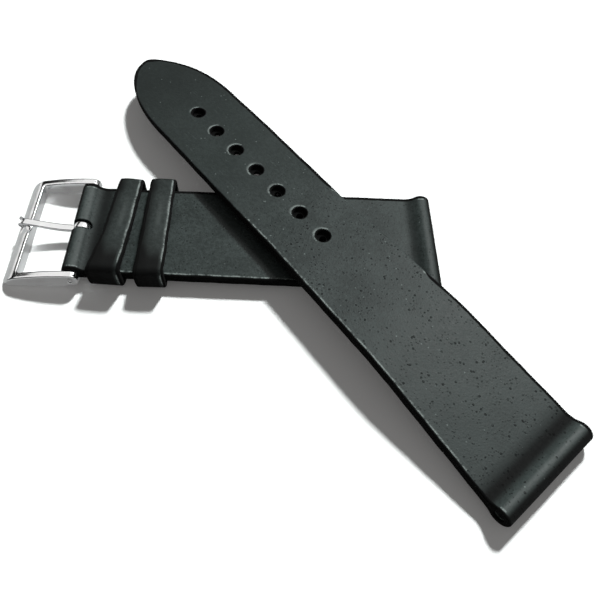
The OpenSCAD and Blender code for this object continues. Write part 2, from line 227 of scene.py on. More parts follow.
def leather(name, tones, gloss, pores, pored_from=everywhere, sheen_from=nowhere):
    """A satin leather. Its tones are its colour, a lighter one and a dark one.

    The last two pairs say between which lengths of the blank the pores and a painted sheen set in.
    """
    colour, light, dark = tones
    f = Finish(name, Specular_IOR_Level=0.08)
    flat, rim, tone = (f.node("ShaderNodeAttribute", {"attribute_name": name}, output)
                       for name, output in (("flat_mm", 1), ("rim_mm", 2), ("tone", 2)))
    # Above 0 the tone lightens as wear and painted highlight, and below 0 it darkens as painted shade
    wear_and_highlight, painted_shade = f.step(tone, 0.02, 1), f.step(0 - tone, 0, 1)
    u = f.node("ShaderNodeSeparateXYZ", Vector=flat)
    pored, painted_sheen = f.step(u, *pored_from), f.step(u, *sheen_from)
    # Grain, and slow changes of colour over a few millimetres
    cells = f.node("ShaderNodeTexVoronoi", {"feature": "SMOOTH_F1"}, Vector=flat, Scale=2.6,
                   Smoothness=0.4, Randomness=1.0)
    fine = f.noise(flat, 5.5, 3, 0.6)
    mottle = f.noise(flat, 1.4, 3, 0.6)
    broad = f.noise(flat, 0.16, 3, 0.55)
    uneven = f.step(broad*0.5 + 0.7*mottle + 0.6*fine - 0.4, 0.33, 0.72)
    grain = f.step(f.noise(flat, 1.7, 5, 0.8), 0.5, 0.66)*f.step(f.noise(flat, 0.12, 2), 0.4, 0.6)
    # Dark pores of uneven shape in clusters, small ones between them, light flecks and scuffs
    spots = f.dots(flat, 0.95) + 0.3*f.noise(flat, 3.0, 2, 0.7) - 0.15
    cluster = f.step(f.noise(flat, 0.3, 3, 0.65), 0.41, 0.56)*pored
    pits = (1 - f.step(spots, 0.13, 0.26))*cluster*pores
    pit_lip = f.step(spots, 0.22, 0.3)*(1 - f.step(spots, 0.3, 0.42))*cluster*pores
    strewn = f.step(f.noise(flat, 0.5, 3, 0.7), 0.43, 0.55)
    tiny = (1 - f.step(f.dots(flat, 1.7), 0.14, 0.3))*strewn*pored*pores
    flecks = (1 - f.step(f.dots(flat, 0.8), 0.06, 0.16))*f.step(f.noise(flat, 0.7, 2), 0.48, 0.6)*pores
    brushed = f.node("ShaderNodeMapping", Vector=flat, Scale=(0.25, 2.2, 1))
    scuffs = f.step(f.noise(brushed, 1.1, 4, 0.65), 0.58, 0.72)*pores
    # The black paint of the cut edge laps onto the top, and rubbing leaves a light line beside it
    wobble = f.noise(flat, 0.9, 2)
    edge = 1 - f.step(rim + 0.25*wobble - 0.12, 0.28, 0.44)
    beside = f.step(rim, 0.36, 0.48)*(1 - f.step(rim, 0.5, 0.8))
    rubbed = beside*f.step(f.noise(flat, 0.9, 5, 0.8), 0.42, 0.56)*f.step(tone, 0.005, 0.02)
    # Each layer covers what lies under it by its share
    base = f.mix(colour, light, uneven*(0.4 + 0.6*pored))
    for layer, share in ((light, painted_sheen*0.5), (dark, pits*0.95), (dark, tiny*0.8),
                         (dark, grain*pored*0.45*pores), (light, pit_lip*0.6),
                         (scuff_grey, f.step(flecks + scuffs*0.25, 0, 1)*0.7), (rub_grey, rubbed*0.85),
                         (wear_and_highlight_grey, wear_and_highlight*0.7), (edge_paint_and_shade_black, painted_shade*0.97), (edge_paint_and_shade_black, edge)):
        base = f.mix(base, layer, share)
    height = cells*0.4 + fine*0.35 + mottle*0.4 + broad*0.5 - pits*1.2 - tiny*0.6
    rough = gloss + 0.16*fine + 0.2*mottle - 0.12 + pits*0.1 + edge*0.45 + painted_shade*0.3
    return f.wear(Base_Color=base, Roughness=rough, Normal=f.bump(height, 0.00006, 0.6))


# %% Make the leathers
strap_tones = ((0.0175, 0.0225, 0.0215, 1), (0.038, 0.047, 0.0455, 1), (0.002, 0.003, 0.003, 1))
keeper_tones = ((0.017, 0.021, 0.020, 1), (0.030, 0.036, 0.035, 1), (0.004, 0.005, 0.005, 1))
lining_tones = ((0.004, 0.005, 0.005, 1), (0.008, 0.009, 0.009, 1), (0.002, 0.003, 0.003, 1))
# On the tail the pores set in past the holes, and towards the lug end the slope is lighter, as a painted
# sheen
tail_leather = leather("charcoal_tail_leather", strap_tones, 0.47, 1.0, (38, 62), (86, 108))
strap_leather = leather("charcoal_strap_leather", strap_tones, 0.47, 0.6)
keeper_leather = leather("smooth_keeper_leather", keeper_tones, 0.42, 0.12)
lining_leather = leather("black_lining_leather", lining_tones, 0.62, 0.3)
print("leathers made")

# %% [markdown]
# ## Metal finishes
# The buckle is polished steel. Polished metal is never quite even: it has a faint haze of fine scratches
# and hollows that pull its reflections out of shape. Both come from noise in the object's own
# coordinates, as slow waves in the normal and small changes of roughness.

# %% Make the metals
def metal(name, colour, gloss, haze, wave):
    """A steel with a haze of fine scratches and shallow hollows."""
    f = Finish(name, Metallic=1.0)
    place = f.node("ShaderNodeTexCoord", output=3)
    scratch = f.noise(f.node("ShaderNodeMapping", Vector=place, Scale=(400, 6000, 6000)), 1.0, 4, 0.7)
    hollow = f.noise(place, 350.0, 2, 0.5)
    shade = f.mix(colour, tuple(0.82*c for c in colour[:3]) + (1,), f.step(hollow, 0.45, 0.75)*0.5)
    rough = gloss + haze*f.step(scratch, 0.35, 0.8) + haze*0.5*hollow
    normal = f.bump(hollow*0.7 + scratch*0.06, wave, 0.5)
    return f.wear(Base_Color=shade, Roughness=rough, Normal=normal)


polished_steel = metal("polished_steel", (0.80, 0.81, 0.82, 1), 0.10, 0.08, 0.00012)
spring_steel = metal("drawn_spring_steel", (0.58, 0.57, 0.55, 1), 0.3, 0.15, 0.0001)
for node, finish in (("spring_bar_tube", polished_steel), ("spring_bar_near_tip", polished_steel),
                     ("spring_bar_far_tip", polished_steel), ("spring_bar_coil", spring_steel)):
    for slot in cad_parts[node].material_slots:
        slot.material = finish
print("metals made")

# %% [markdown]
# ## Cutting a blank
# A blank is a flat outline with holes, of two faces and a rounded edge. Its vertices are kept as
# (u, w, h): u runs along the leather, w across it, and h says which face and how deep into the rounded
# edge. The outline is a line of points. Moving them inwards by steps that follow a quarter circle gives
# the rounded rim, and a triangle fill closes the rest. Straight cuts across the blank then give it the
# vertices that it needs to bend.

# %% Blank helpers
# The height of both flat faces above and below the middle; the rounded edge counts down from it
FACE = 10.0


def inset(points, distance):
    """The closed line of points moved inwards, which for a hole is away from the hole."""
    before, after = np.roll(points, 1, axis=0), np.roll(points, -1, axis=0)
    a = points - before
    b = after - points
    a /= np.linalg.norm(a, axis=1)[:, None]
    b /= np.linalg.norm(b, axis=1)[:, None]
    normal = np.stack([-(a + b)[:, 1], (a + b)[:, 0]], axis=1)
    normal /= np.linalg.norm(normal, axis=1)[:, None]
    cosine = np.clip((normal*np.stack([-a[:, 1], a[:, 0]], axis=1)).sum(1), 0.5, 1)
    return points + normal*(distance/cosine)[:, None]


def rim_steps(top, bottom, steps=4):
    """Pairs of inset and height round the edge, from the upper face to the lower one."""
    turn = [math.radians(90*i/steps) for i in range(steps + 1)]
    upper = [(top*(1 - math.sin(q)), FACE - top*(1 - math.cos(q))) for q in turn]
    lower = [(bottom*(1 - math.sin(q)), -FACE + bottom*(1 - math.cos(q))) for q in reversed(turn)]
    return upper + lower


def distance_to(points, line):
    """How far each point is from a closed line."""
    a, b = line, np.roll(line, -1, axis=0)
    best = np.full(len(points), 1e9)
    for p, q in zip(a, b):
        d = q - p
        t = np.clip(((points - p) @ d)/max(d @ d, 1e-12), 0, 1)
        best = np.minimum(best, np.linalg.norm(points - p - t[:, None]*d, axis=1))
    return best


# %% The blank cutter
def cut_blank(outline, holes, rim, hole_rim, cuts_u, cuts_w):
    """A closed flat mesh of (u, w, h), with its outline and its holes rounded."""
    mesh = bmesh.new()
    # Extra rings on the upper face keep the rounding crisp, and carry the rims of holes, rubbed and with a
    # painted highlight
    loops = [(outline, rim, (0.12,))]
    loops += [(hole[::-1], hole_rim, (0.75, 0.45, 0.2, 0.08)) for hole in holes]
    faces = {FACE: [], -FACE: []}
    for line, rounding, extra in loops:
        wide = max(rounding)
        steps = [(wide + d, FACE) for d in extra] + [(wide, FACE)] + rim_steps(*rounding) + [(wide, -FACE)]
        steps = [s for k, s in enumerate(steps) if k == 0 or s != steps[k - 1]]
        rings = [[mesh.verts.new((*p, h)) for p in inset(line, d)] for d, h in steps]
        following = [*range(1, len(line)), 0]
        for first, second in zip(rings, rings[1:]):
            for k, j in enumerate(following):
                mesh.faces.new((first[k], first[j], second[j], second[k]))
        for ring, face in ((rings[0], FACE), (rings[-1], -FACE)):
            faces[face] += [mesh.edges.get((ring[k], ring[j])) for k, j in enumerate(following)]
    for face, edges in faces.items():
        bmesh.ops.triangle_fill(mesh, edges=edges, use_beauty=True)
    bmesh.ops.recalc_face_normals(mesh, faces=mesh.faces)
    for axis, cuts in ((1, cuts_w), (0, cuts_u)):
        way = Vector((0, 0, 0))
        way[axis] = 1
        for cut in cuts:
            bmesh.ops.bisect_plane(mesh, geom=mesh.verts[:] + mesh.edges[:] + mesh.faces[:],
                                   dist=0.002, plane_co=way*cut, plane_no=way)
    bmesh.ops.remove_doubles(mesh, verts=mesh.verts, dist=0.004)
    return mesh


# %% [markdown]
# ## Bending a blank
# `shape(u, w)` gives two points for each place on the flat blank: one on the outer face of the bent
# leather and one on its inner face. A vertex on the upper face goes to the outer point, one on the
# lower face to the inner point, and one on the rounded edge lies as far between them as its depth.
# The flat coordinates stay on the mesh for the grain.

# %% The bender
def add_object(name, mesh):
    """A new object in the scene that takes over a bmesh."""
    made = bpy.data.objects.new(name, bpy.data.meshes.new(name))
    mesh.to_mesh(made.data)
    mesh.free()
    bpy.context.scene.collection.objects.link(made)
    return made


def note(data, name, kind, field, values):
    """Keeps one value for each vertex on the mesh, where a finish reads it."""
    data.attributes.new(name, kind, "POINT").data.foreach_set(field, values.astype(np.float32).ravel())


def bend(name, mesh, shape, outline, body, nodes, finish, tone=None, lap=None, holes=()):
    """Bends a cut blank and hands it to the part."""
    flat = np.array([v.co for v in mesh.verts], float)
    u, w = flat[:, 0], flat[:, 1]
    outer, inner = shape(u, w)
    across = outer - inner
    thick = np.linalg.norm(across, axis=1)
    across /= thick[:, None]
    upper = flat[:, 2] > 0
    # A rounded edge stops short of the middle, where the two faces would meet
    depth = np.minimum(FACE - np.abs(flat[:, 2]), 0.49*thick)[:, None]
    points = np.where(upper[:, None], outer - across*depth, inner + across*depth)
    for vertex, point in zip(mesh.verts, points):
        vertex.co = point*MM
    bmesh.ops.recalc_face_normals(mesh, faces=mesh.faces)
    piece = add_object(name, mesh)
    piece.data.shade_smooth()
    to_edge = distance_to(flat[:, :2], outline)
    extra = np.zeros(len(flat)) if lap is None else lap(u, w)
    rim = to_edge - extra
    for hole in holes:
        near = np.abs(u - hole[:, 0].mean()) < 4
        rim[near] = np.minimum(rim[near], distance_to(flat[near, :2], hole) + 0.12)
    tones = np.zeros(len(flat)) if tone is None else tone(u, w, upper, points)
    # A tone just above nothing lets the rim be rubbed where the paint is narrow
    tones = tones + 0.03*((np.abs(extra) < 0.1) & (to_edge < 1.5) & (np.abs(tones) < 0.03))
    note(piece.data, "flat_mm", "FLOAT_VECTOR", "vector", np.column_stack([u, w, flat[:, 2]*0.7]))
    note(piece.data, "rim_mm", "FLOAT", "value", rim)
    note(piece.data, "tone", "FLOAT", "value", tones)
    piece.data.materials.append(finish)
    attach(piece, body)
    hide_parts(*nodes)
    low, high = np.round(points.min(0), 1), np.round(points.max(0), 1)
    print("%s: %d faces, from %s to %s" % (name, len(piece.data.polygons), low, high))
    return piece


def lookup(u, table_u, table_p):
    """A point of a bent side line, read off at the flat length u."""
    return np.column_stack([np.interp(u, table_u, table_p[:, k]) for k in (0, 1)])


def bump_at(u, centre, width):
    """A smooth bump of height 1 for shades that change along the leather."""
    return np.exp(-((u - centre)/width)**2)


def ramp(value, start, end):
    """0 before start, 1 past end, and even between them. It falls where end is the smaller one."""
    return np.clip((value - start)/(end - start), 0, 1)


# %% [markdown]
# ## The rolled end
# At the watch case and at the buckle the leather runs round a bar and comes back under itself as a
# flap. Seen from the side, its outer face goes from the strap's top down into a shallow valley, over
# the crown of the roll, round the end and back underneath. Its inner face follows the round tunnel and
# closes on itself at a glue line. `wrap` gives both faces as matching points, from the valley to the
# end of the flap, for a roll whose bar is at the origin and whose strap runs towards +X.

# %% Side line of a rolled end
valley_n, roll_n, flap_n = 16, 46, 14


def arc(centre, radius, start, end, count):
    """Points on a circle between two angles in degrees."""
    q = np.radians(np.linspace(start, end, count))
    return np.column_stack([centre[0] + radius*np.cos(q), centre[1] + radius*np.sin(q)])


def level_line(start, end, height, count):
    return np.column_stack([np.linspace(start, end, count), np.full(count, height)])


def wrap(roll, bore, top, joint, bottom, flap, glue=0.015):
    """Outer and inner points of a roll, in millimetres."""
    valley_z = top + valley_r
    valley_x = math.sqrt((roll + valley_r)**2 - valley_z**2)
    meet = math.degrees(math.atan2(valley_z, valley_x))
    under = 360 - math.degrees(math.asin(min(1, -bottom/roll)))
    close = math.degrees(math.asin(joint/bore))
    valley = arc((valley_x, valley_z), valley_r, 270, 180 + meet, valley_n)[:-1]
    crown = arc((0, 0), roll, meet, under, roll_n)
    outer = np.vstack([valley, crown, level_line(crown[-1, 0] + 0.5, flap, bottom, flap_n)])
    # The sharp inner corner under the roll is eased
    k = len(valley) + len(crown)
    for _ in range(6):
        outer[k - 5:k + 3] = (outer[k - 6:k + 2] + 2*outer[k - 5:k + 3] + outer[k - 4:k + 4])/4
    bore_x = math.sqrt(bore**2 - joint**2)
    lead = level_line(valley_x, bore_x, joint + glue, valley_n)[:-1]
    bore_line = arc((0, 0), bore, close + 1, 359 + close, roll_n)
    return outer, np.vstack([lead, bore_line, level_line(bore_x + 0.35, flap, joint - glue, flap_n)])


def along(outer):
    """The flat length of each point of a side line."""
    return np.concatenate([[0], np.cumsum(np.linalg.norm(np.diff(outer, axis=0), axis=1))])


# %% [markdown]
# ## The tail half
# Its side line starts at the lug tunnel, rises on a straight slope, bends to the level above the buckle
# half and droops a little at the tip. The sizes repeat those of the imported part. The outer leather is
# one blank from the tip to the end of the flap under the lug end, and the lining is a second blank.

# %% Side line of the tail
tail_angle, bend_len = math.radians(129.5), 10.0
# The right edge passes over the near end of the buckle half's roll, cross_s from the tail's own
# tunnel and cross_in inside the axis of that roll
cross_s, cross_in = 35.0, 0.6
tail_len, tail_lift, rest_gap, tip_droop = 118.5, 0.6, 0.3, math.radians(3.5)
hole_n, hole_r, hole_pitch, hole_first = 7, 1.4, 6.95, 22.0

tail_bottom = table + tail_lift
tail_joint = tail_bottom + lining_t
tail_top = tail_joint + outer_t
cross_height = roll_r + math.sqrt((roll_r + rest_gap)**2 - cross_in**2)
bend_end = cross_s - 1
bend_start = bend_end - bend_len
tail_slope = math.asin((cross_height - tail_lift)/(bend_start + bend_len/2))
droop_start = tail_len - hole_first + 2*hole_r
# The side line runs on past the tip, where the hand-cut outline may need it
past_tip = 1.0
path_len = tail_len + 2*past_tip


def slope_at(s):
    return np.interp(s, [bend_start, bend_end, droop_start, path_len], [tail_slope, 0, 0, -tip_droop])


path_n, strap_n, lining_n = 1181, 399, 300
path_s = np.linspace(0, path_len, path_n)
middle_slope = slope_at((path_s[1:] + path_s[:-1])/2)
path_step = path_s[1] - path_s[0]
steps_xz = path_step*np.column_stack([np.cos(middle_slope), np.sin(middle_slope)])
path_xz = np.vstack([[0, 0], np.cumsum(steps_xz, axis=0)])


def tail_at(s, height):
    """Points of the tail's side line at a height square to it."""
    q = slope_at(s)
    base = lookup(s, path_s, path_xz)
    return base + height*np.column_stack([-np.sin(q), np.cos(q)])


def half_width(s):
    return (lug_w + (tail_w - lug_w)*ramp(s, 0, tail_taper))/2


across_way = np.array([-math.sin(tail_angle), math.cos(tail_angle)])
along_way = np.array([math.cos(tail_angle), math.sin(tail_angle)])
tail_lug = np.array([-cross_in, -lug_w/2]) - cross_s*along_way + half_width(cross_s)*across_way
print("tail slope %.2f degrees, lug tunnel at %s" % (math.degrees(tail_slope), np.round(tail_lug, 2)))

# %% Place the tail's side line in space
def stand(side, w):
    """Side points and the place across the tail, as points in the part's frame."""
    plan = tail_lug + side[:, :1]*along_way + w[:, None]*across_way
    return np.column_stack([plan, side[:, 1]])


def turn_up(points, angle):
    """Side points turned about the tunnel, so that the roll follows the slope."""
    c, s = math.cos(angle), math.sin(angle)
    return points @ np.array([[c, s], [-s, c]])


roll_outer, roll_inner = wrap(roll_r, tunnel_r, tail_top, tail_joint, tail_bottom, lug_flap)
roll_start = roll_outer[0, 0]
strap_s = np.linspace(tail_len + past_tip, roll_start, strap_n + 1)[:-1]
tail_outer = np.vstack([tail_at(strap_s, tail_top), turn_up(roll_outer, tail_slope)])
tail_inner = np.vstack([tail_at(strap_s, tail_joint), turn_up(roll_inner, tail_slope)])
tail_u = along(tail_outer) - past_tip
tail_x = np.concatenate([strap_s, roll_outer[:, 0]])
roll_u = tail_u[strap_n]


def tail_shape(u, w):
    """Both faces of the tail, with slow waves in the upper one."""
    wave = 0.05*np.sin(u*0.31 + 1.3)*np.sin(w*0.25 + 0.6)
    outer = stand(lookup(u, tail_u, tail_outer), w)
    inner = stand(lookup(u, tail_u, tail_inner), w)
    outer[:, 2] += wave
    return outer, inner


# %% Outline of the tail
def ragged(points, size=0.02):
    """A hand-cut edge: each point moves a hair's breadth, and its neighbours go with it."""
    u, w = points[:, 0], points[:, 1]
    shift = size*(np.sin(0.9*u + 2*np.sign(w)) + 0.6*np.sin(2.3*u + 1.7*w))
    return points + np.column_stack([np.zeros(len(u)), np.sign(w)*shift])


def rounded_end(u, half, inner_r=0.12, count=5):
    """The square end of a flap, with its corners cut round, from the +w side to the -w side."""
    corner = arc((u - inner_r, half - inner_r), inner_r, 90, 0, count)
    span = np.linspace(half - inner_r, -(half - inner_r), 12)[1:-1]
    return np.vstack([corner, np.column_stack([np.full(len(span), u), span]), corner[::-1]*[1, -1]])


def tail_outline(end_u, half_at):
    """The tail's blank: a round tip at u = 0 and a square end."""
    q = np.radians(np.linspace(0, 90, 40))
    reach = half_at(tip_len)
    # A little more pointed than an ellipse
    point = 2/1.88
    tip = np.column_stack([tip_len*(1 - np.cos(q)**point), reach*np.sin(q)**point])
    side_u = np.linspace(tip_len, end_u - 0.5, 110)[1:-1]
    side = ragged(np.column_stack([side_u, half_at(side_u)]))
    end = rounded_end(end_u, half_at(end_u))
    line = np.vstack([tip, side, end, side[::-1]*[1, -1], tip[1:][::-1]*[1, -1]])[::-1]
    # The hand-cut tip is a little fuller on the right, and blunter at its end
    u, w = line.T
    fuller = 0.45*(1 - np.exp(-u/2.5))*ramp(u, 62, 37)*ramp(-w, 0, reach)
    blunter = 0.75*bump_at(w, -1.6, 2.4)*ramp(u, 6, 1)
    return line - np.column_stack([blunter, fuller])


def round_hole(u, radius, count=36):
    """A round hole on the middle line of a blank."""
    return arc((u, 0), radius, 0, 360 - 360/count, count)


hole_s = np.array([tail_len - hole_first - i*hole_pitch for i in range(hole_n)])
hole_u = np.interp(-hole_s, -tail_x[:strap_n], tail_u[:strap_n])
holes = [round_hole(u, hole_r) for u in hole_u]
edge_of_tail = tail_outline(tail_u[-1], lambda u: half_width(np.interp(u, tail_u, tail_x)))

# Cuts lie close in the roll, wider in the bend, and far apart where the tail is straight
round_cut, straight_cut = 0.22, 2.5
roll_end_u, slope_u = roll_u + 18, 93
bend_cuts = np.arange(tail_len - bend_end - 1, tail_len - bend_start + 1, 0.7)
tail_cuts = np.sort(np.concatenate([
    np.arange(roll_u - 1, roll_end_u, round_cut), bend_cuts,
    np.arange(2, tail_len - bend_end - 1, straight_cut), np.arange(slope_u, roll_u - 1, straight_cut),
    np.arange(roll_end_u, tail_u[-1], 1.5)]))
print("tail blank %.1f mm long, holes at %s" % (tail_u[-1], np.round(hole_u, 1)))


# %% Shades and paint of the tail
def tail_tone(u, w, upper, points):
    """Painted shade in the valley and on the outer side of the roll, a painted highlight on its crown, and
    rims of holes that are rubbed and carry a painted highlight.
    """
    v = u - roll_u
    # A painted highlight on the crown, a little uneven across the strap, and painted shade in the valley
    # and on the outer side
    wear = 0.8 + 0.2*np.sin(0.8*w + 1) + 0.1*np.sin(2.1*w)
    ridge = 0.35*bump_at(v, 3.4, 0.5)*wear
    valley = 0.85*bump_at(v, 1.0, 1.3) + 0.4*bump_at(v, -0.9, 1.7)
    outer_side = 0.97*ramp(v, 3.9, 4.9)
    # The rims of the holes are rubbed, and lighter on their tip side as a painted highlight
    rubbed_and_lit_rims = np.zeros(len(u))
    for centre in hole_u:
        away = np.hypot(u - centre, w)
        towards_tip = ramp(centre - u + 0.25*w, 0, np.maximum(away, 0.1))
        rubbed_and_lit_rims += 0.8*bump_at(away, hole_r + 0.5, 0.22)*towards_tip**1.5
    # Painted shade darkens the tip
    tip_shade = 0.42*ramp(u, 36, 12)
    return np.where(upper, ridge + rubbed_and_lit_rims - (valley + outer_side) - tip_shade, 0)


def tail_lap(u, w):
    """How far the paint laps: most at the tip and the right edge, least where that edge lies on leather."""
    over_from, over_to = 55, 83
    over_strap = ramp(u, over_from, over_from + 3)*ramp(u, over_to, over_to - 3)
    right_edge = ramp(-w, 0, 2)
    left_edge = ramp(w, 0, 2)
    broad = np.maximum(right_edge, ramp(u, 10, 4))*(1 - 2*right_edge*over_strap)
    rubbed_off = 0.12*left_edge*(1 - broad)*ramp(u, 60, 50)
    return 0.5*broad*(1 - 0.25*ramp(u, over_to, over_to + 3)) - rubbed_off


# %% Cut and bend the tail
long_cuts = np.linspace(-9, 9, 7)
tail_blank = cut_blank(edge_of_tail, holes, (0.4, 0.08), (0.22, 0.05), tail_cuts, long_cuts)
bend("tail_leather", tail_blank, tail_shape, edge_of_tail, "tail_half",
     ["tail_outer_leather"], tail_leather, tail_tone, tail_lap, holes)

# %% The tail's lining
lining_s = np.linspace(tail_len + past_tip, lug_flap + butt_gap/5, lining_n)
lining_outer, lining_inner = tail_at(lining_s, tail_joint - 0.01), tail_at(lining_s, tail_bottom)
lining_u = along(lining_outer) - past_tip


def tail_lining_shape(u, w):
    """The lining is skived towards its edges, most at the tip, so that the strap looks thin there."""
    outer, inner = stand(lookup(u, lining_u, lining_outer), w), stand(lookup(u, lining_u, lining_inner), w)
    near_tip = ramp(u, 60, 15)
    inner[:, 2] += 0.65*near_tip*ramp(np.maximum(np.abs(w), 8 - u), 4, 8)
    return outer, inner


def shade_painted_top(u, w, upper, points):
    """The upper face is seen through the holes only, and is painted black as shade, so that the holes look
    dark.
    """
    return np.where(upper, -1.0, 0.0)


# Holes of half the width keep the white card from showing through the strap
lining_hole_r = 0.5*hole_r
edge_of_lining = tail_outline(lining_u[-1], lambda u: half_width(np.interp(u, lining_u, lining_s)))
lining_holes = [round_hole(u, lining_hole_r) for u in np.interp(-hole_s, -lining_s, lining_u)]
lining_cuts = np.sort(np.concatenate([bend_cuts, np.arange(2, lining_u[-1], 4)]))
lining_blank = cut_blank(edge_of_lining, lining_holes, (0.06, 0.3), (0.05, 0.15), lining_cuts,
                         [-8, -6, -4, 0, 4, 6, 8])
bend("tail_lining_leather", lining_blank, tail_lining_shape, edge_of_lining, "tail_half",
     ["tail_lining"], lining_leather, shade_painted_top)

# %% [markdown]
# ## The buckle half
# It is one blank too, with a rolled end for the watch and a fold round the buckle bar. The fold has a
# slot, so that the tang can turn. The slot is cut in the flat blank across the fold, as a strap maker
# does it, and the bending carries it round the bar.

# %% Side line of the buckle half
level_n = 60
lug_outer, lug_inner = wrap(roll_r, tunnel_r, half_top, half_joint, half_bottom, lug_flap)
lug_outer, lug_inner = lug_outer*[-1, 1], lug_inner*[-1, 1]
bar_outer, bar_inner = wrap(fold_r, fold_bore_r, half_top - bar_z, half_joint - bar_z,
                            half_bottom - bar_z, bar_flap)
bar_outer, bar_inner = bar_outer[::-1] + [bar_x, bar_z], bar_inner[::-1] + [bar_x, bar_z]
level_x = bar_outer[-1, 0], lug_outer[0, 0]
half_outer = np.vstack([bar_outer, level_line(*level_x, half_top, level_n)[1:-1], lug_outer])
half_inner = np.vstack([bar_inner, level_line(*level_x, half_joint, level_n)[1:-1], lug_inner])
half_u = along(half_outer)
bar_end_u, lug_start_u = half_u[len(bar_outer) - 1], half_u[len(bar_outer) + level_n - 2]
print("buckle half blank %.1f mm long" % half_u[-1])


def buckle_half_width(x):
    return (lug_w + (buckle_w - lug_w)*ramp(x, 0, bar_x))/2


def half_shape(u, w):
    """Both faces of the buckle half, with slow waves between its rolls."""
    outer, inner = lookup(u, half_u, half_outer), lookup(u, half_u, half_inner)
    lift = 0.06*np.sin(u*0.23 + 0.4)*np.cos(w*0.21)*ramp(u, bar_end_u + 6, bar_end_u + 12)
    return (np.column_stack([outer[:, 0], w, outer[:, 1] + lift]),
            np.column_stack([inner[:, 0], w, inner[:, 1]]))


# %% Blank of the buckle half
def strip_outline(start_u, end_u, half_at, size=0.02):
    """The blank of a strip with hand-cut sides and square ends."""
    side_u = np.linspace(start_u + 0.5, end_u - 0.5, 130)[1:-1]
    side = ragged(np.column_stack([side_u, half_at(side_u)]), size)
    end, start = rounded_end(end_u, half_at(end_u)), rounded_end(-start_u, half_at(start_u))
    return np.vstack([side, end, side[::-1]*[1, -1], start[::-1]*[-1, 1]])[::-1]


def slot_hole(start, end, half, count=10):
    """A slot with two round ends."""
    head = arc((end - half, 0), half, -90, 90, count)
    return np.vstack([head, head[::-1]*[-1, 1] + [start + end, 0]])


slot_half, slot_reach = 1.0, 2.0
slot_x = bar_x + slot_reach
below, above = slice(0, flap_n), slice(len(bar_outer) - 30, len(bar_outer) + 40)
slot_start = np.interp(slot_x, half_outer[below, 0][::-1], half_u[below][::-1])
slot_end = np.interp(slot_x, half_outer[above, 0], half_u[above])
edge_of_half = strip_outline(0, half_u[-1],
                             lambda u: buckle_half_width(np.interp(u, half_u, half_outer[:, 0])))
fold_from, roll_to = bar_flap - 2, half_u[-1] - lug_flap + 3
half_cuts = np.sort(np.concatenate([
    np.arange(1, fold_from, 3), np.arange(fold_from, bar_end_u + 1, round_cut),
    np.arange(bar_end_u + 1, lug_start_u - 1, straight_cut),
    np.arange(lug_start_u - 1, roll_to, round_cut), np.arange(roll_to, half_u[-1], 3)]))
print("slot from %.1f to %.1f mm of the blank" % (slot_start, slot_end))


# %% Cut and bend the buckle half
def half_tone(u, w, upper, points):
    """Painted shade in the valleys and on the outer sides of both rolls, and a painted highlight on the
    crown of each.
    """
    lug = u - lug_start_u
    fold = bar_end_u - u
    shade = 0.5*bump_at(lug, 0.9, 1.3) + 0.97*ramp(lug, 4.2, 5.0)
    shade = shade + 0.75*bump_at(fold, 0.0, 1.8) + 0.97*ramp(fold, 4.1, 4.9)
    return np.where(upper, 0.2*bump_at(lug, 3.4, 0.5) + 0.42*bump_at(fold, 3.3, 1.1) - shade, 0)


def half_lap(u, w):
    """The paint laps further on the far edge."""
    return 0.5*ramp(w, 0, 2)


half_blank = cut_blank(edge_of_half, [slot_hole(slot_start, slot_end, slot_half)], (0.4, 0.08),
                       (0.15, 0.06), half_cuts, long_cuts)
bend("buckle_half_leather", half_blank, half_shape, edge_of_half, "buckle_half",
     ["buckle_side_outer_leather"], strap_leather, half_tone, half_lap)

# %% The buckle half's lining
lining_low, lining_high = limits("buckle_side_lining")


def half_lining_shape(u, w):
    x = lining_low[0] + u
    return (np.column_stack([x, w, np.full(len(u), half_joint - 0.01)]),
            np.column_stack([x, w, np.full(len(u), half_bottom)]))


edge_of_half_lining = strip_outline(0, lining_high[0] - lining_low[0],
                                    lambda u: buckle_half_width(lining_low[0] + u))
bend("buckle_half_lining_leather",
     cut_blank(edge_of_half_lining, [], (0.06, 0.3), (0.05, 0.1), np.arange(3, 38, 5), [-4.5, 0, 4.5]),
     half_lining_shape, edge_of_half_lining, "buckle_half", ["buckle_side_lining"],
     lining_leather)

# %% [markdown]
# ## The keepers
# A keeper is a narrow strip of leather bent to a loop, with its two ends butted and glued below the
# strap. The loop is a rounded box whose top is a little crowned. Soft leather doesn't stand up square,
# so the loop leans: its top is higher on one side.

# %% Loop line
def loop_line(half, low, high, round_r, crown, count=9):
    """A closed rounded box, started at the middle of its underside, with a crowned top."""
    points = [np.array([[0, low], [half - round_r, low]])]
    for cy, cz, start in ((half - round_r, low + round_r, -90), (half - round_r, high - round_r, 0),
                          (-(half - round_r), high - round_r, 90), (-(half - round_r), low + round_r, 180)):
        points.append(arc((cy, cz), round_r, start, start + 90, count))
        if start == 0:
            points.append(level_line(half - round_r, -(half - round_r), high, 16)[1:-1])
    points.append(np.array([[0, low]]))
    line = np.vstack(points)
    upper = ramp(line[:, 1], low, high)
    line[:, 1] += crown*upper*(1 - (line[:, 0]/half)**2) - crown*upper
    return line, upper


# %% Make a keeper
keeper_w = 5.1


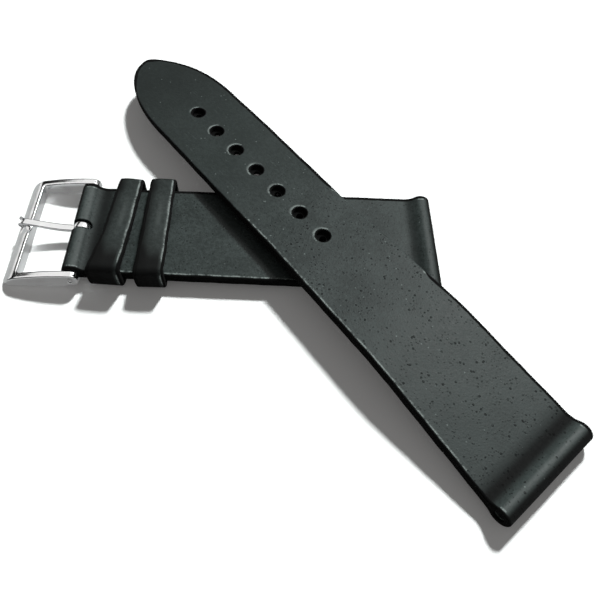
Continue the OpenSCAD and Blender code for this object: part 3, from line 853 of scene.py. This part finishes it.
def keeper(name, node, body, skew, lean, flare, base_round=1.4):
    """A keeper in its solid's place, turned by skew, leaning by lean and flared at its near end."""
    low, high = limits(node)
    middle = (low + high)/2
    turn = math.radians(skew)
    half_out = ((high[1] - low[1]) - keeper_w*abs(math.sin(turn)))/2/math.cos(turn)
    outer, up_outer = loop_line(half_out, low[2], high[2], base_round, 0.35)
    inner, up_inner = loop_line(half_out - keeper_t, low[2] + keeper_t, high[2] - keeper_t,
                                max(0.35, base_round - keeper_t), 0.3)
    for line, share in ((outer, up_outer), (inner, up_inner)):
        line[:, 1] -= lean*share**2*(1 + line[:, 0]/half_out)/2
    u_line = along(outer)

    def shape(u, w):
        # The outer face falls off to both edges, most at the buckle's side, and the near end flares
        pillow = 0.05*np.sin(u*0.7)*(w/2.5) - 0.4*ramp(-w, 0.5, 2.5)**2
        pillow = pillow - 0.15*ramp(w, 1.5, 2.5)**2
        top_share = np.interp(u, u_line, up_outer)**2
        faces = []
        for line, lift in ((outer, pillow*top_share), (inner, 0)):
            side = lookup(u, u_line, line)
            near = -side[:, 0]/half_out
            out = flare*ramp(near, 0, 1)**2*(0.75 - w/5) + 0.3*flare*ramp(-near, 0, 1)*(w > 0)
            x = middle[0] + w*math.cos(turn) - side[:, 0]*math.sin(turn) - out
            y = w*math.sin(turn) + side[:, 0]*math.cos(turn)
            faces.append(np.column_stack([x, y, side[:, 1] + lift]))
        return faces

    def tone(u, w, upper, points):
        # The right edge is worn and partly a painted highlight, the middle has a painted sheen, and painted
        # shade darkens both ends and the left side
        y = points[:, 1]/half_out
        wear_and_highlight = 0.7*bump_at(w, keeper_w/2 - 0.42, 0.25)*(0.8 + 0.3*np.sin(u*1.1))
        sheen = 0.28*bump_at(w, 0.4, 1.0)*np.clip(1.1 - np.abs(y - 0.1)*1.3, 0, 1)
        far_end = 0.97*ramp(y, 0.9, 0.96)
        near_end = 0.9*ramp(-y, 0.42, 0.77)
        shaded_ends = far_end + near_end + 0.25*bump_at(y, 0.75, 0.15)
        shaded_left = 0.75*ramp(-w, 0.3, 2.0)
        return np.where(upper, wear_and_highlight + (sheen - shaded_ends)*(1 - np.clip(wear_and_highlight, 0, 0.7)) - shaded_left, 0)

    edge = strip_outline(0.03, u_line[-1] - 0.03, lambda u: 0*u + keeper_w/2, 0.04)
    blank = cut_blank(edge, [], (0.28, 0.15), (0.1, 0.1), np.unique(np.round(u_line[1:-1], 3)),
                      np.arange(-2, 2.5, 0.5))
    bend(name, blank, shape, edge, body, [node], keeper_leather, tone,
         lambda u, w: 0.3*ramp(-w, 0, 2))


keeper("fixed_keeper_leather", "fixed_keeper", "buckle_half", -3.0, 0.9, 1.1)
keeper("free_keeper_leather", "free_keeper", "sliding_keeper", 0.5, 0.15, 0.35)

# %% [markdown]
# ## The buckle
# The frame is a flat U of steel: two arms that hold the sprung bar and a broad front bar with a slanted
# face. From above it is an outline, and from the side its upper and lower faces are two lines, so the
# blank cutter makes it as well. Its edges are rounded by polishing. The two holes for the bar's noses
# are cut with a Boolean modifier.

# %% Make the frame
frame_low, frame_high = limits("buckle_frame")
arm_t, arm_r, arm_bow = 1.4, 1.45, 0.25
front_bar_w, front_edge_h, bar_in_h = 3.0, 0.55, 2.6
seat_d, seat_half = 0.4, 0.95
frame_front, frame_half = frame_low[0], frame_high[1]
reach = bar_x - frame_front - front_bar_w
inner_x, inner_half = bar_x - reach, frame_half - arm_t


def frame_shape(u, w):
    """The upper and lower faces, from the front bar along the arms to their round ends."""
    t = ramp(u, inner_x, bar_x)
    past_bar = np.clip(u - bar_x, 0, arm_r*0.995)
    end = np.sqrt(arm_r**2 - past_bar**2)
    inner_top = table + bar_in_h
    arm_top = inner_top + (bar_z + arm_r - inner_top)*t + 4*arm_bow*t*(1 - t)
    face = ramp(u, frame_front, frame_front + front_bar_w)
    slant = table + front_edge_h + (inner_top - table - front_edge_h)*(1 - (1 - face)**1.5)
    seat = seat_d*np.exp(-(w/seat_half)**8)*ramp(u, frame_front, frame_front + 0.8)
    top = np.where(u < inner_x, slant - seat, np.where(u > bar_x, bar_z + end, arm_top))
    low_front = table + 0.02 + 0.25*ramp(u, frame_front + 0.5, frame_front)**2
    arm_low = table + (bar_z - arm_r - table)*t
    bottom = np.where(u < inner_x, low_front, np.where(u > bar_x, bar_z - end, arm_low))
    return np.column_stack([u, w, top]), np.column_stack([u, w, bottom])


def row(start, end, w):
    """Six points of a straight edge along the arm."""
    return [[x, w] for x in np.linspace(start, end, 6)]


# One side of the U, from its front corner round the arm's end to the window, and its mirror image
back_x = bar_x + arm_r*0.98
in_r, out_r, end_r = 0.5, 1.2, 0.35
one_side = np.vstack([
    arc((frame_front + out_r, frame_half - out_r), out_r, 180, 90, 8),
    row(frame_front + 3, back_x - 1, frame_half),
    arc((back_x - end_r, frame_half - end_r), end_r, 90, 0, 4),
    arc((back_x - end_r, inner_half + end_r), end_r, 0, -90, 4),
    row(back_x - 1, inner_x + 1.5, inner_half),
    arc((inner_x + in_r, inner_half - in_r), in_r, 90, 180, 5)])
edge_of_frame = np.vstack([one_side, one_side[::-1]*[1, -1]])[::-1]
frame_cuts = np.sort(np.concatenate([np.arange(frame_front + 0.3, bar_x, 0.45),
                                     bar_x + arm_r*np.sin(np.radians(np.arange(0, 90, 7)))]))
beside_seat = [0.3, 0.7, 0.85, 0.95, 1.05, 1.2, 1.6]
frame_blank = cut_blank(edge_of_frame, [], (0.33, 0.2), (0.1, 0.1), frame_cuts,
                        [-w for w in beside_seat[::-1]] + beside_seat)
buckle = bend("buckle_polished_frame", frame_blank, frame_shape, edge_of_frame, "buckle",
              ["buckle_frame"], polished_steel)

# %% Cut the nose holes
def drill(piece, centre, radius, length):
    """Cuts a round hole along Y with a Boolean modifier, then removes the cutter."""
    rod_mesh = bmesh.new()
    place = Matrix.Translation(Vector(centre)*MM) @ Matrix.Rotation(math.pi/2, 4, "X")
    bmesh.ops.create_cone(rod_mesh, cap_ends=True, segments=32, radius1=radius*MM, radius2=radius*MM,
                          depth=length*MM, matrix=place)
    cutter = add_object("cutter", rod_mesh)
    cut = piece.modifiers.new("cut", "BOOLEAN")
    cut.operation, cut.object, cut.solver = "DIFFERENCE", cutter, "EXACT"
    bpy.context.view_layer.update()
    made = bpy.data.meshes.new_from_object(piece.evaluated_get(bpy.context.evaluated_depsgraph_get()))
    made.shade_smooth()
    piece.modifiers.clear()
    piece.data = made
    bpy.data.objects.remove(cutter)
    print("%s drilled, %d faces" % (piece.name, len(made.polygons)))


nose_hole_r = 0.45
drill(buckle, (bar_x, 0, bar_z), nose_hole_r, 2*frame_half + 2)

# %% [markdown]
# ## The tang
# The tang is a steel rod, flattened and bent round the bar to an eye. Its side view is an outline with
# a round hole, and its thickness runs across. Deep rounding at both faces makes the shank nearly round.
# At rest it lies a few degrees above its seat on the front bar.

# %% Make the tang
eye_bore, eye_r, tang_half, tang_t = bar_r + bar_clear, bar_r + 0.8, 0.7, 0.9
tang_open = math.radians(5)
tang_kink, kink_drop = 4.2, 0.2
solid_seat_d, seat_gap = 0.2, 0.15
over_bar = table + bar_in_h - bar_z - solid_seat_d + seat_gap + tang_t/2
crest_x = -reach - 0.6
rise = (over_bar + kink_drop)/(reach - tang_kink)
crest_z = over_bar - rise*(crest_x + reach)
tip = (crest_x - 0.5, crest_z - 0.3)


def smooth_line(points, rounds=3):
    """Cuts the corners of an open line, so that a bend in the rod is soft."""
    points = np.array(points, float)
    for _ in range(rounds):
        first, second = points[:-1], points[1:]
        quarters = np.stack([0.75*first + 0.25*second, 0.25*first + 0.75*second], axis=1)
        points = np.vstack([points[:1], quarters.reshape(-1, 2), points[-1:]])
    return points


rod = smooth_line([(-eye_r + 0.25, 0), (-tang_kink, -kink_drop), (-reach + 1.5, over_bar - 1.5*rise - 0.03),
                   (crest_x, crest_z), tip])
way = np.gradient(rod, axis=0)
way /= np.linalg.norm(way, axis=1)[:, None]
side = np.column_stack([-way[:, 1], way[:, 0]])
half_t = (tang_t/2)*np.interp(-rod[:, 0], [eye_r, 3.5, reach], [0.95, 1.0, 0.9])[:, None]
meet_q = math.degrees(math.asin(tang_t/2/eye_r)) + 8
eye_line = arc((0, 0), eye_r, 180 + meet_q, 540 - meet_q, 40)
tip_q = math.degrees(math.atan2(way[-1, 1], way[-1, 0]))
tip_line = arc(rod[-1], half_t[-1, 0], tip_q - 90, tip_q + 90, 12)[1:-1]
edge_of_tang = np.vstack([eye_line, rod - side*half_t, tip_line[::-1], (rod + side*half_t)[::-1]])
print("tang outline of %d points" % len(edge_of_tang))


def tang_shape(u, w):
    c, s = math.cos(tang_open), math.sin(tang_open)
    x, z = bar_x + u*c + w*s, bar_z - u*s + w*c
    return (np.column_stack([x, np.full(len(u), tang_half), z]),
            np.column_stack([x, np.full(len(u), -tang_half), z]))


tang_blank = cut_blank(edge_of_tang, [round_hole(0, eye_bore)], (0.3, 0.3), (0.08, 0.08), [], [])
bend("buckle_polished_tang", tang_blank, tang_shape, edge_of_tang, "tang", ["buckle_tang"],
     polished_steel)

# %% [markdown]
# ## Stage and light
# The strap lies on white card under two round lamps. The key lamp stands behind it and a little to the
# right, so its short shadows fall towards the camera, and reflections don't show it. The sheen lamp is
# broader and stands further to the right. Only reflections show it, so it lays a soft sheen on the
# leather and throws no second shadow. The card and the world look white to the camera and in
# reflections, and the light that they add to the strap stays low.

# %% White card
card_half = 0.4
card_mesh = bmesh.new()
card_mesh.faces.new([card_mesh.verts.new((x*card_half, y*card_half, (table - 0.01)*MM))
                     for x, y in ((-1, -1), (1, -1), (1, 1), (-1, 1))])
card = add_object("white_card", card_mesh)


def kinds_of_ray(tree):
    """Values that are 1 for rays from the camera, in reflections and through glass, and else 0."""
    rays = tree.nodes.new("ShaderNodeLightPath")
    return [Value(tree, rays.outputs["Is %s Ray" % kind]) for kind in ("Camera", "Glossy", "Transmission")]


white = Finish("white_card", Base_Color=(1, 1, 1, 1), Roughness=1.0, Specular_IOR_Level=0.0)
seen, mirrored = kinds_of_ray(white.tree)[:2]
glow = white.node("ShaderNodeEmission", Color=(1, 0.99, 0.975, 1), Strength=0.3 + 0.7*seen)
# The card glows a little for the camera and more in reflections
blend = white.tree.nodes.new("ShaderNodeMixShader")
feed(white.tree, blend.inputs[0], seen*0.06 + mirrored*0.75)
white.tree.links.new(white.shader.outputs[0], blend.inputs[1])
white.tree.links.new(glow.socket, blend.inputs[2])
white.tree.links.new(blend.outputs[0], white.tree.nodes["Material Output"].inputs[0])
card.data.materials.append(white.material)
print("card %.1f m wide" % (2*card_half))

# %% World and lamps
world = bpy.data.worlds.new("white_room")
bpy.context.scene.world = world
world.use_nodes = True
backing = world.node_tree.nodes["Background"]
backing.inputs[0].default_value = (1.0, 0.985, 0.965, 1)
seen, mirrored, through_glass = kinds_of_ray(world.node_tree)
room_light = 0.13
feed(world.node_tree, backing.inputs[1], seen + mirrored*0.9 + through_glass + room_light)

lamp_away, lamp_aim = 1.4, Vector((-0.02, 0, 0))


def add_lamp(name, way, side, watts):
    """A round lamp that faces the strap."""
    lamp = bpy.data.objects.new(name, bpy.data.lights.new(name, "AREA"))
    lamp.data.shape, lamp.data.size, lamp.data.energy = "DISK", side, watts
    lamp.data.color = (0.96, 1.0, 0.99)
    bpy.context.scene.collection.objects.link(lamp)
    lamp.location = lamp_aim + way.normalized()*lamp_away
    lamp.rotation_mode = "QUATERNION"
    lamp.rotation_quaternion = way.to_track_quat("Z", "Y")
    return lamp


add_lamp("key_lamp", Vector((0.253, 0.684, 0.684)), 0.15, 31.0).visible_glossy = False
add_lamp("sheen_lamp", Vector((0.44, 0.38, 0.81)), 0.45, 54.0).visible_diffuse = False
print("world and two lamps set")

# %% [markdown]
# Polished steel looks like steel through its dark lines. In an all-white room it would look like
# plaster. A dark band stands round the strap at some distance, as black card does in a studio. A low
# window in it keeps the front bar of the buckle bright. The band is seen by reflections only, so it
# takes no light from the leather.

# %% Dark band for reflections
band_away, band_sides = 0.6, 48
band_heights = (-0.002, 0.09, 0.4)
window_start, window_end = 125, 172
band_mesh = bmesh.new()
way_round = [2*math.pi*i/band_sides for i in range(band_sides)]
rings = [[band_mesh.verts.new((band_away*math.cos(q), band_away*math.sin(q), z)) for q in way_round]
         for z in band_heights]
for i, q in enumerate(way_round):
    j = (i + 1) % band_sides
    in_window = window_start < math.degrees(q) < window_end
    for lower, upper in list(zip(rings, rings[1:]))[in_window:]:
        band_mesh.faces.new((lower[i], lower[j], upper[j], upper[i]))
band = add_object("dark_band", band_mesh)
band.visible_camera = band.visible_diffuse = band.visible_shadow = band.visible_transmission = False
band.data.materials.append(Finish("dark_band", Base_Color=(0.01, 0.01, 0.01, 1), Roughness=1.0,
                                  Specular_IOR_Level=0.0).material)
print("band of %d faces" % len(band.data.polygons))
